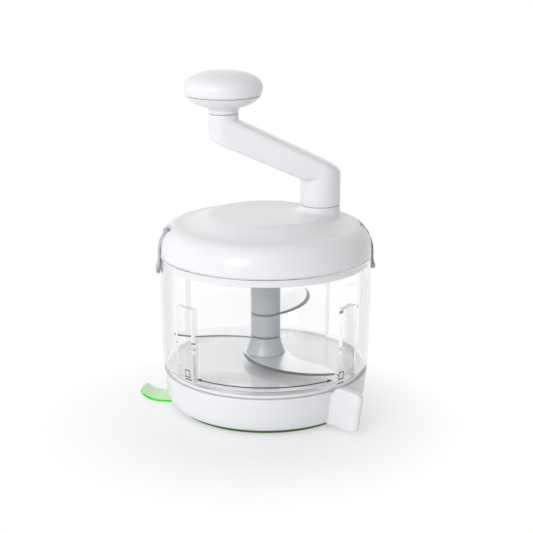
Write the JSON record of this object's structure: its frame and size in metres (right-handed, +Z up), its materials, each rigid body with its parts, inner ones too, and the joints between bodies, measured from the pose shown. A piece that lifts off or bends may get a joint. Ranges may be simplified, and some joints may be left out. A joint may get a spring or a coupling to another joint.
{
  "type": "manual food processor",
  "caption": "Hand-cranked food processor with a clear bowl, bladed column, geared white lid with crank and latches, and a suction base.",
  "frame": {"origin": "middle of the suction pad's flat underside, on the bowl's axis", "axes": "+Z up along the bowl's axis, +X to the right as seen in the picture, -Y towards the front, where the picture was taken from"},
  "size_m": [0.1706, 0.1507, 0.2405],
  "materials": {
    "white_plastic": "satin",
    "clear_plastic": "clear",
    "grey_plastic": "satin",
    "green_silicone": "matte",
    "blade_steel": "polished",
    "screw_steel": "plain",
    "gear_plastic": "matte"
  },
  "bodies": {
    "bowl": {"suction_pad": "green_silicone", "base_plate": "white_plastic", "base_screw_1": "screw_steel", "base_screw_2": "screw_steel", "base_screw_3": "screw_steel", "base_deck": "white_plastic", "bowl": "clear_plastic", "spindle_pin": "screw_steel"},
    "turn_ring": {"base_shell": "white_plastic", "cam_ring": "gear_plastic", "cam_screw_1": "screw_steel", "cam_screw_2": "screw_steel", "cam_screw_3": "screw_steel"},
    "stem": {"suction_stem": "gear_plastic", "cross_pin": "screw_steel"},
    "tab": {"pull_tab": "green_silicone"},
    "blades": {"column_core": "gear_plastic", "column_foot": "grey_plastic", "column_lower": "grey_plastic", "column_middle": "grey_plastic", "column_upper": "grey_plastic", "blade_bottom": "blade_steel", "blade_middle": "blade_steel", "blade_top": "blade_steel"},
    "lid": {"lid_shell": "white_plastic", "lid_base": "white_plastic", "boss_bushing": "gear_plastic", "pinion_bushing": "gear_plastic", "pinion_axle": "screw_steel", "lid_screw_1": "screw_steel", "lid_screw_2": "screw_steel", "lid_screw_3": "screw_steel", "lid_screw_4": "screw_steel", "latch_pin_left": "screw_steel", "latch_pin_right": "screw_steel"},
    "pinion": {"pinion": "gear_plastic"},
    "crank": {"crank_shaft": "screw_steel", "shaft_screw": "screw_steel", "drive_gear": "gear_plastic", "crank_arm": "white_plastic", "knob_spindle": "screw_steel", "knob_screw": "screw_steel"},
    "knob": {"knob_body": "white_plastic", "knob_cap": "white_plastic"},
    "latch_left": {"latch_left": "grey_plastic"},
    "latch_right": {"latch_right": "grey_plastic"}
  },
  "joints": [
    {"name": "lid_lift", "type": "slide", "parent": "bowl", "child": "lid", "axis": [0, 0, 1], "range_m": [0, 0.11]},
    {"name": "crank_turn", "type": "hinge", "parent": "lid", "child": "crank", "pos_m": [0.03871, 0.01008, 0.145], "axis": [0, 0, 1], "continuous": true},
    {"name": "pinion_spin", "type": "hinge", "parent": "lid", "child": "pinion", "pos_m": [0, 0, 0.114], "axis": [0, 0, 1], "continuous": true},
    {"name": "blade_spin", "type": "hinge", "parent": "bowl", "child": "blades", "pos_m": [0, 0, 0.034], "axis": [0, 0, 1], "continuous": true},
    {"name": "knob_spin", "type": "hinge", "parent": "crank", "child": "knob", "pos_m": [-0.02896, 0.00009, 0.22], "axis": [0, 0, 1], "continuous": true},
    {"name": "suction_turn", "type": "hinge", "parent": "bowl", "child": "turn_ring", "pos_m": [0, 0, 0.015], "axis": [0, 0, 1], "range_deg": [-82, 0]},
    {"name": "stem_lift", "type": "slide", "parent": "bowl", "child": "stem", "axis": [0, 0, 1], "range_m": [0, 0.0036]},
    {"name": "latch_right_swing", "type": "hinge", "parent": "lid", "child": "latch_right", "pos_m": [0.06963, 0.00609, 0.1267], "axis": [0.0872, -0.9962, 0], "range_deg": [0, 100]},
    {"name": "latch_left_swing", "type": "hinge", "parent": "lid", "child": "latch_left", "pos_m": [-0.06963, -0.00609, 0.1267], "axis": [-0.0872, 0.9962, 0], "range_deg": [0, 100]},
    {"name": "tab_lift", "type": "hinge", "parent": "bowl", "child": "tab", "pos_m": [-0.06286, 0.0055, 0.0022], "axis": [0.0872, 0.9962, 0], "range_deg": [0, 15]}
  ],
  "couplings": [
    {"joint": "pinion_spin", "follows": "crank_turn", "ratio": -2.2},
    {"joint": "blade_spin", "follows": "crank_turn", "ratio": -2.2},
    {"joint": "stem_lift", "follows": "suction_turn", "m_per_rad": -0.0024456}
  ]
}
